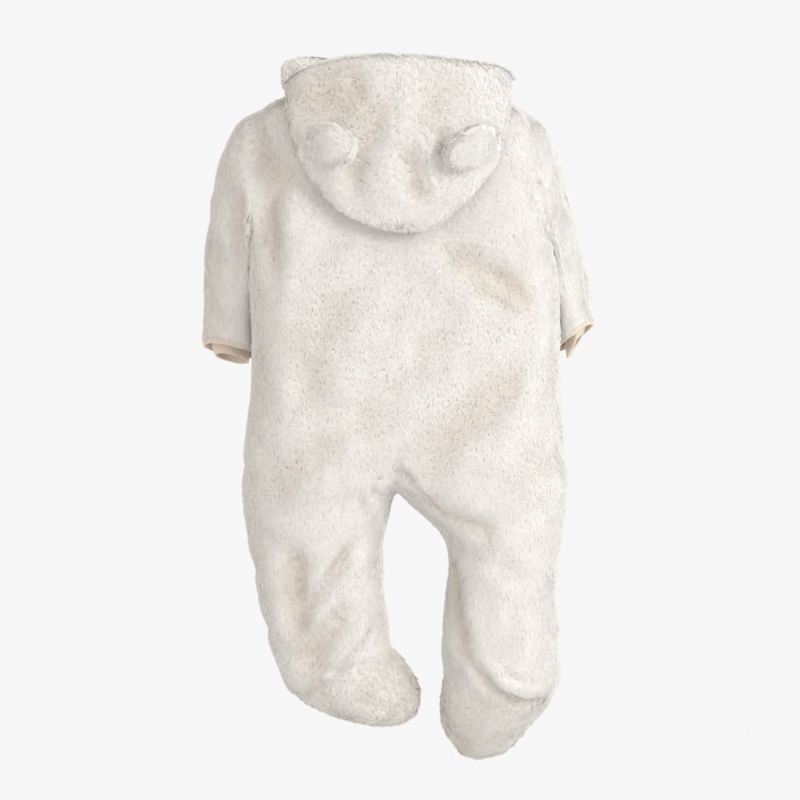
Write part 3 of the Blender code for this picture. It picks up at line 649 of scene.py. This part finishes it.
def blade_object(name, corners, shading, tint, material):
    """A triangle for each blade. Its map holds the tint across, and the way from root to tip upward."""
    faces = np.arange(3 * len(corners)).reshape(-1, 3)
    made = mesh_object(name, corners.reshape(-1, 3), faces, material)
    made.data.normals_split_custom_set(np.repeat(shading, 3, 0).tolist())
    places = np.zeros((len(corners), 3, 2))
    places[:, :, 0] = np.clip(tint, *TINT_ENDS)[:, None] + TINT_ACROSS
    places[:, 2, 1] = 1
    layer = made.data.uv_layers.new(name="OFBake")
    layer.data.foreach_set("uv", places.astype(np.float32).ravel())
    return made


# Materials


SHEEN_ROUGHNESS = 0.4
# Colours as stops: a place from 0 to 1 and the colour there.
# ALONG_BLADE is a little darker and warmer at the root than at the tip: painted shade deep in the pile.
ALONG_BLADE = ((0.0, (0.95, 0.93, 0.90)), (0.35, (0.948, 0.936, 0.911)), (1.0, (0.95, 0.945, 0.926)))
# BLADE_TINTS runs from a darker warm tint to white. Its dark end carries the painted shade in the troughs as
# well as the blades' random tone.
BLADE_TINTS = ((0.06, (0.895, 0.853, 0.81)), (0.6, (1.0, 1.0, 1.0)))
GROUND_TONES = ((0.3, (0.95, 0.93, 0.895)), (0.7, (0.965, 0.952, 0.928)))
JERSEY_TONES = ((0.3, (0.78, 0.67, 0.56)), (0.7, (0.85, 0.76, 0.66)))
CAP_TONES = ((0.3, (0.80, 0.75, 0.68)), (0.7, (0.86, 0.82, 0.76)))
THREAD_TONES = ((0.3, (0.78, 0.66, 0.53)), (0.7, (0.87, 0.77, 0.65)))


def new_material(name, roughness, sheen, gloss=0.25):
    """A Principled material, its node tree and its shader."""
    material = bpy.data.materials.new(name)
    material.use_nodes = True
    tree = material.node_tree
    shader = tree.nodes["Principled BSDF"]
    shader.inputs["Roughness"].default_value = roughness
    shader.inputs["Sheen Weight"].default_value = sheen
    shader.inputs["Sheen Roughness"].default_value = SHEEN_ROUGHNESS
    shader.inputs["Specular IOR Level"].default_value = gloss
    return material, tree, shader


def ramp(tree, fac, stops):
    """A colour ramp over fac. stops are (place, colour)."""
    node = tree.nodes.new("ShaderNodeValToRGB")
    elements = node.color_ramp.elements
    while len(elements) < len(stops):
        elements.new(0.5)
    for element, (place, colour) in zip(elements, stops):
        element.position = place
        element.color = (*colour, 1)
    tree.links.new(fac, node.inputs["Fac"])
    return node.outputs["Color"]


def pile_material():
    """The blades' colour: along them from root to tip, a little darker at the root as painted shade deep in
    the pile, and from blade to blade, darker in the folds' troughs as painted shade.
    """
    material, tree, shader = new_material("fleece_pile", roughness=0.9, sheen=0.1)
    places = tree.nodes.new("ShaderNodeUVMap")
    places.uv_map = "OFBake"
    split = tree.nodes.new("ShaderNodeSeparateXYZ")
    tree.links.new(places.outputs["UV"], split.inputs[0])
    along = ramp(tree, split.outputs["Y"], ALONG_BLADE)
    tint = ramp(tree, split.outputs["X"], BLADE_TINTS)
    both = tree.nodes.new("ShaderNodeMix")
    both.data_type = "RGBA"
    both.blend_type = "MULTIPLY"
    both.inputs["Factor"].default_value = 1
    tree.links.new(along, both.inputs["A"])
    tree.links.new(tint, both.inputs["B"])
    tree.links.new(both.outputs["Result"], shader.inputs["Base Color"])
    return material


def bumped(tree, shader, height, distance, strength):
    """Gives the shader a bump as deep as distance."""
    bump = tree.nodes.new("ShaderNodeBump")
    bump.inputs["Distance"].default_value = distance
    bump.inputs["Strength"].default_value = strength
    tree.links.new(height, bump.inputs["Height"])
    tree.links.new(bump.outputs["Normal"], shader.inputs["Normal"])


def noise(tree, scale, detail=3, stretch=(1, 1, 1)):
    """Noise in the object's own metres; scale is its cells in each metre."""
    places = tree.nodes.new("ShaderNodeTexCoord")
    spread = tree.nodes.new("ShaderNodeMapping")
    spread.inputs["Scale"].default_value = stretch
    node = tree.nodes.new("ShaderNodeTexNoise")
    node.inputs["Scale"].default_value = scale
    node.inputs["Detail"].default_value = detail
    tree.links.new(places.outputs["Object"], spread.inputs["Vector"])
    tree.links.new(spread.outputs["Vector"], node.inputs["Vector"])
    return node.outputs["Fac"]


def ground_material():
    """The fleece's knitted ground, between the blades and inside."""
    material, tree, shader = new_material("fleece_ground", roughness=0.95, sheen=0.1)
    tree.links.new(ramp(tree, noise(tree, 90), GROUND_TONES), shader.inputs["Base Color"])
    bumped(tree, shader, noise(tree, 900), distance=0.4 * MM, strength=0.8)
    return material


def jersey_material():
    """Fine rib knit, whose ribs run down the cloth."""
    material, tree, shader = new_material("rib_jersey", roughness=0.85, sheen=0.2)
    ribs = noise(tree, 900, detail=2, stretch=(1, 1, 0.08))
    tree.links.new(ramp(tree, ribs, JERSEY_TONES), shader.inputs["Base Color"])
    bumped(tree, shader, ribs, distance=0.3 * MM, strength=0.7)
    return material


def cap_material():
    """Moulded satin plastic, a little uneven and dusty in tone."""
    material, tree, shader = new_material("satin_cap", roughness=0.34, sheen=0, gloss=0.5)
    tree.links.new(ramp(tree, noise(tree, 220), CAP_TONES), shader.inputs["Base Color"])
    bumped(tree, shader, noise(tree, 1200), distance=0.05 * MM, strength=0.3)
    return material


def thread_material():
    """The placket's stitching thread."""
    material, tree, shader = new_material("thread", roughness=0.7, sheen=0.2)
    tree.links.new(ramp(tree, noise(tree, 2500), THREAD_TONES), shader.inputs["Base Color"])
    return material


# The pieces


# How thick the pile stands where it isn't 1: on these kinds of piece, and on three parts of the hood. HIDDEN
# is for its outside where that faces the front, by a cosine above HOOD_TURN, and lies against the shoulders.
BODY_WEIGHTS = {"front": 0.66, "sole": 0.9}
HIDDEN, INSIDE, ON_RIM = 0.3, 0.75, 2.2
HOOD_TURN = 0.2


def fleece_piece(name, cloth, surface, blades, weights, materials, seed):
    """One sewn piece: its ground cloth, in place of its node, and the pile on it."""
    ground, fur = materials
    shell = shell_of(cloth, GROUND_DEPTH + EXTRA_DEPTH * np.abs(cloth.hollow)[:, None], GROUND_WALL)
    made = shown_for(name, "_cloth", shell.points, shell.faces, ground)
    hair = pile(name + "_pile", surface, blades, fur, weights, seed)


def tape(name, cloth, jersey):
    """A binding's jersey, which runs in under the pile of its sleeve."""
    shell = shell_of(part_of(cloth, cloth.labels == BODY.index(name)), TAPE_DEPTH, TAPE_WALL)
    return shown_for(name, "_tape", shell.points, shell.faces, jersey)


def fleece_body(materials, jersey):
    """The body's cloth and pile, and the bindings at the sleeves' ends."""
    cloth, fine = folded_skins(BODY, BODY_FOLDS, seed=11)
    wrapped = shell_of(fine, 0, FLEECE_WALL)
    hem = edge_tree(fine)
    middles = wrapped.points[wrapped.faces].mean(1).tolist()
    off_hem = np.array([hem.find(middle)[2] > TAPE_SHOWN for middle in middles])
    tapes = {name.replace("binding", "sleeve"): tape(name, cloth, jersey) for name in BINDINGS}
    for label, name in enumerate(FLEECE):
        kind = name.split("_")[0]
        chosen = wrapped.labels == label
        if kind == "sleeve":  # its pile laps over the binding
            chosen |= off_hem & (wrapped.labels == BODY.index(name.replace("sleeve", "binding")))
        surface = part_of(wrapped, chosen & (wrapped.sides != INNER))
        weights = np.full(len(surface.faces), BODY_WEIGHTS.get(kind, 1.0))
        blades = FOOT if kind in ("foot", "sole") else LONG
        piece = part_of(cloth, cloth.labels == label)
        fleece_piece(name, piece, surface, blades, weights, materials, seed=label)


def fleece_hood(materials):
    """The hood's two halves, with pile on both sides of the cloth and over its rim."""
    cloth, fine = folded_skins(HOOD, HOOD_FOLDS, seed=31)
    wrapped = shell_of(fine, 0, FLEECE_WALL)
    for label, name in enumerate(HOOD):
        surface = part_of(wrapped, wrapped.labels == label)
        facing = surface.normals[surface.faces].mean(1)[:, 1]
        outside = np.where(facing < -HOOD_TURN, HIDDEN, 1.0)
        weights = np.choose(surface.sides, (outside, INSIDE, ON_RIM))
        piece = part_of(cloth, cloth.labels == label)
        fleece_piece(name, piece, surface, CURLY, weights, materials, seed=20 + label)


EAR_SWELL = 6.5 * MM
ROUND_SIDE = 0.3  # the least cosine to the axis on an ear's round side
FLAT = math.radians(1)  # an ear's cut sides are as flat as this, so each becomes one face


def plumped(surface):
    """An ear's half with its round side filled out, most in the middle."""
    middle = surface.points.mean(0)
    axis = unit(surface.normals[np.unique(surface.faces[surface.labels == 0])].sum(0))
    away = surface.points - middle
    away -= axis * (away @ axis)[:, None]
    reach = np.linalg.norm(away, axis=1)
    swell = EAR_SWELL * (1 - (reach / reach.max()) ** 2) * (surface.normals @ axis > ROUND_SIDE)
    points = surface.points + axis * swell[:, None]
    return make_surface(points, surface.faces, surface.labels, surface.sides, surface.hollow)


def ears(materials):
    """Each ear's two padded halves. Pile stands on their round sides and not where they were cut."""
    ground, fur = materials
    for number, name in enumerate(EARS):
        mesh = mesh_of(name)
        verts, edges = mesh.verts[:], mesh.edges[:]
        bmesh.ops.dissolve_limit(
            mesh, angle_limit=FLAT, use_dissolve_boundaries=False, verts=verts, edges=edges
        )
        for face in mesh.faces:
            face.material_index = int(len(face.verts) > 4)  # 1 on the cut sides
        surface = plumped(smoothed(mesh, 2, PILE_LEVELS))
        points = surface.points - surface.normals * EAR.depth
        made = shown_for(name, "_pad", points, surface.faces, ground)
        domed = part_of(surface, surface.labels == 0)
        pile(name + "_pile", domed, EAR, fur, np.ones(len(domed.faces)), seed=40 + number)


def cuffs(jersey):
    """The jersey bands that show below the sleeves' ends."""
    for name in ("cuff_" + side for side in SIDES):
        shell = shell_of(smooth_skin([name], JERSEY_WALL, CUFF_LEVELS), 0, JERSEY_WALL)
        made = shown_for(name, "_rib", shell.points, shell.faces, jersey)


STITCH_LENGTH, STITCH_GAP, STITCH_THICK = 2.3 * MM, 1.1 * MM, 0.55 * MM
STITCH_INSET = 2.2 * MM  # from the placket's edge
STRIP_DEPTH = 0.2 * MM  # from each face of the placket's node to the strip's


def stitch_rows(strip, thread):
    """A row of stitches along each edge of the placket."""
    tree = BVHTree.FromPolygons(strip.points.tolist(), strip.faces.tolist())
    low, high = strip.points.min(0), strip.points.max(0)
    pitch = STITCH_LENGTH + STITCH_GAP
    count = int((high[2] - low[2] - 2 * STITCH_INSET) / pitch)
    size = Matrix.Diagonal((STITCH_THICK / 2, STITCH_THICK / 2, STITCH_LENGTH / 2, 1))
    stitches = bmesh.new()
    for x in (low[0] + STITCH_INSET, high[0] - STITCH_INSET):
        for i in range(count):
            start = Vector((x, -FAR, low[2] + STITCH_INSET + (i + 0.5) * pitch))
            place, normal = tree.ray_cast(start, Vector((0, 1, 0)))[:2]
            if place is None:
                continue
            up = (Vector((0, 0, 1)) - normal * normal.z).normalized()
            axes = Matrix((normal, normal.cross(up), up)).transposed().to_4x4()
            turned = Matrix.Translation(place) @ axes @ size
            bmesh.ops.create_uvsphere(stitches, u_segments=8, v_segments=6, radius=1, matrix=turned)
    data = bpy.data.meshes.new("placket_stitches")
    stitches.to_mesh(data)
    stitches.free()
    return placed("placket_stitches", data, thread)


def placket(jersey, thread):
    """The strip over the front opening, with its stitches."""
    strip = smooth_skin(["placket"], PLACKET_WALL, CUFF_LEVELS)
    shell = shell_of(strip, STRIP_DEPTH, PLACKET_WALL - 2 * STRIP_DEPTH)
    made = shown_for("placket", "_strip", shell.points, shell.faces, jersey)
    stitch_rows(strip, thread)


# Half a stud's outline, from its base out and in to its middle: radius and height in mm.
STUD_OUTLINE = (
    (0, 0), (5.2, 0), (5.5, 0.25), (5.5, 0.7), (5.25, 1.15), (4.8, 1.6), (4.2, 1.9), (3.7, 1.88),
    (3.3, 1.6), (3.0, 1.3), (2.2, 1.12), (1.2, 1.08), (0, 1.1),
)
STUD_SIDES = 40


def stud(name, material):
    """A press stud's cap: a rounded ring with a dish in it, on the axis of its node."""
    points = np.array([vert.co[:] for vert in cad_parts[name].data.vertices])
    middle = (points.max(0) + points.min(0)) / 2
    axis = Vector(np.linalg.svd(points - points.mean(0))[2][-1])
    if axis.y > 0:  # it points out at the front
        axis.negate()
    reach = (points - middle) @ np.array(axis)
    mesh = bmesh.new()
    verts = [mesh.verts.new((radius * MM, 0, height * MM)) for radius, height in STUD_OUTLINE]
    edges = [mesh.edges.new(pair) for pair in zip(verts, verts[1:])]
    around = {"cent": (0, 0, 0), "axis": (0, 0, 1), "angle": 2 * math.pi}
    bmesh.ops.spin(mesh, geom=verts + edges, steps=STUD_SIDES, **around)
    bmesh.ops.remove_doubles(mesh, verts=mesh.verts[:], dist=SAME_LENGTH)
    bmesh.ops.recalc_face_normals(mesh, faces=mesh.faces[:])
    turned = axis.to_track_quat("Z", "Y").to_matrix().to_4x4()
    base = Vector(middle) + axis * float(reach.min())
    bmesh.ops.transform(mesh, matrix=Matrix.Translation(base) @ turned, verts=mesh.verts[:])
    data = bpy.data.meshes.new(name + "_cap")
    mesh.to_mesh(data)
    mesh.free()
    made = placed(name + "_cap", data, material)
    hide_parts(name)


# The scene


CAMERA = (-2.7 * MM, 5.0, -261 * MM)
LENS, SENSOR = 250, 36  # in mm, so the frame is 720 mm wide at the romper's middle
# The world's colour: what the camera sees, and the light on -X and on +X.
BACKDROP = (0.925, 0.925, 0.925)
BRIGHT_SIDE, DARK_SIDE = (0.865, 0.865, 0.86), (0.75, 0.695, 0.643)
BEHIND = 1.3  # how much brighter it is on -Y, behind the romper as it is seen, than on +Y
BEHIND_RANGE = 0.2, -0.7  # from where to where along Y that comes in
KEY, KEY_AIM, KEY_SIZE = (-2.2, 2.5, 0.7), (0, 0, -0.25), 1.2
KEY_POWER, KEY_COLOUR = 38, (1.0, 0.99, 0.97)
FLOOR_RADIUS, FLOOR_Z, FLOOR_COLOUR = 1.4, -0.8, (0.86, 0.86, 0.86, 1)


def set_camera():
    """From straight behind."""
    data = bpy.data.cameras.new("camera")
    data.lens, data.sensor_width = LENS, SENSOR
    made = bpy.data.objects.new("camera", data)
    bpy.context.scene.collection.objects.link(made)
    made.location = CAMERA
    made.rotation_euler = (math.radians(90), 0, math.radians(180))
    bpy.context.scene.camera = made


def mapped(tree, value, old, new):
    """A value carried from one range to another."""
    node = tree.nodes.new("ShaderNodeMapRange")
    for name, number in zip(("From Min", "From Max", "To Min", "To Max"), (*old, *new)):
        node.inputs[name].default_value = number
    tree.links.new(value, node.inputs["Value"])
    return node.outputs["Result"]


def set_world():
    """A pale room lights the romper, brightest on its right. The camera sees an even backdrop instead."""
    world = bpy.data.worlds.new("pale")
    bpy.context.scene.world = world
    world.use_nodes = True
    tree = world.node_tree
    backdrop = tree.nodes["Background"]
    backdrop.inputs["Color"].default_value = (*BACKDROP, 1)
    room = tree.nodes.new("ShaderNodeBackground")
    ways = tree.nodes.new("ShaderNodeTexCoord")
    split = tree.nodes.new("ShaderNodeSeparateXYZ")
    tree.links.new(ways.outputs["Generated"], split.inputs[0])
    across = mapped(tree, split.outputs["X"], (-1, 1), (0, 1))
    tree.links.new(ramp(tree, across, ((0, BRIGHT_SIDE), (1, DARK_SIDE))), room.inputs["Color"])
    tree.links.new(mapped(tree, split.outputs["Y"], BEHIND_RANGE, (1, BEHIND)), room.inputs["Strength"])
    path = tree.nodes.new("ShaderNodeLightPath")
    either = tree.nodes.new("ShaderNodeMixShader")
    tree.links.new(path.outputs["Is Camera Ray"], either.inputs["Fac"])
    tree.links.new(room.outputs[0], either.inputs[1])
    tree.links.new(backdrop.outputs[0], either.inputs[2])
    tree.links.new(either.outputs[0], tree.nodes["World Output"].inputs["Surface"])


def set_key():
    """A broad light from the wearer's right and a little above."""
    data = bpy.data.lights.new("key", "AREA")
    data.shape = "DISK"
    data.size, data.energy, data.color = KEY_SIZE, KEY_POWER, KEY_COLOUR
    made = bpy.data.objects.new("key", data)
    bpy.context.scene.collection.objects.link(made)
    made.location = KEY
    made.rotation_euler = (Vector(KEY_AIM) - Vector(KEY)).to_track_quat("-Z", "Y").to_euler()


def set_floor():
    """A pale disc under the romper."""
    mesh = bmesh.new()
    bmesh.ops.create_circle(mesh, cap_ends=True, segments=96, radius=FLOOR_RADIUS)
    data = bpy.data.meshes.new("floor")
    mesh.to_mesh(data)
    mesh.free()
    floor = bpy.data.objects.new("floor", data)
    bpy.context.scene.collection.objects.link(floor)
    floor.location = (0, 0, FLOOR_Z)
    material, _, shader = new_material("pale_floor", roughness=0.9, sheen=0)
    shader.inputs["Base Color"].default_value = FLOOR_COLOUR
    data.materials.append(material)


def main():
    bpy.context.scene.view_settings.view_transform = "Standard"
    set_camera()
    set_world()
    set_key()
    set_floor()
    fleece = ground_material(), pile_material()
    jersey, cap = jersey_material(), cap_material()
    fleece_body(fleece, jersey)
    fleece_hood(fleece)
    ears(fleece)
    cuffs(jersey)
    placket(jersey, thread_material())
    for name in sorted(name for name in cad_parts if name.startswith("stud_")):
        stud(name, cap)


main()
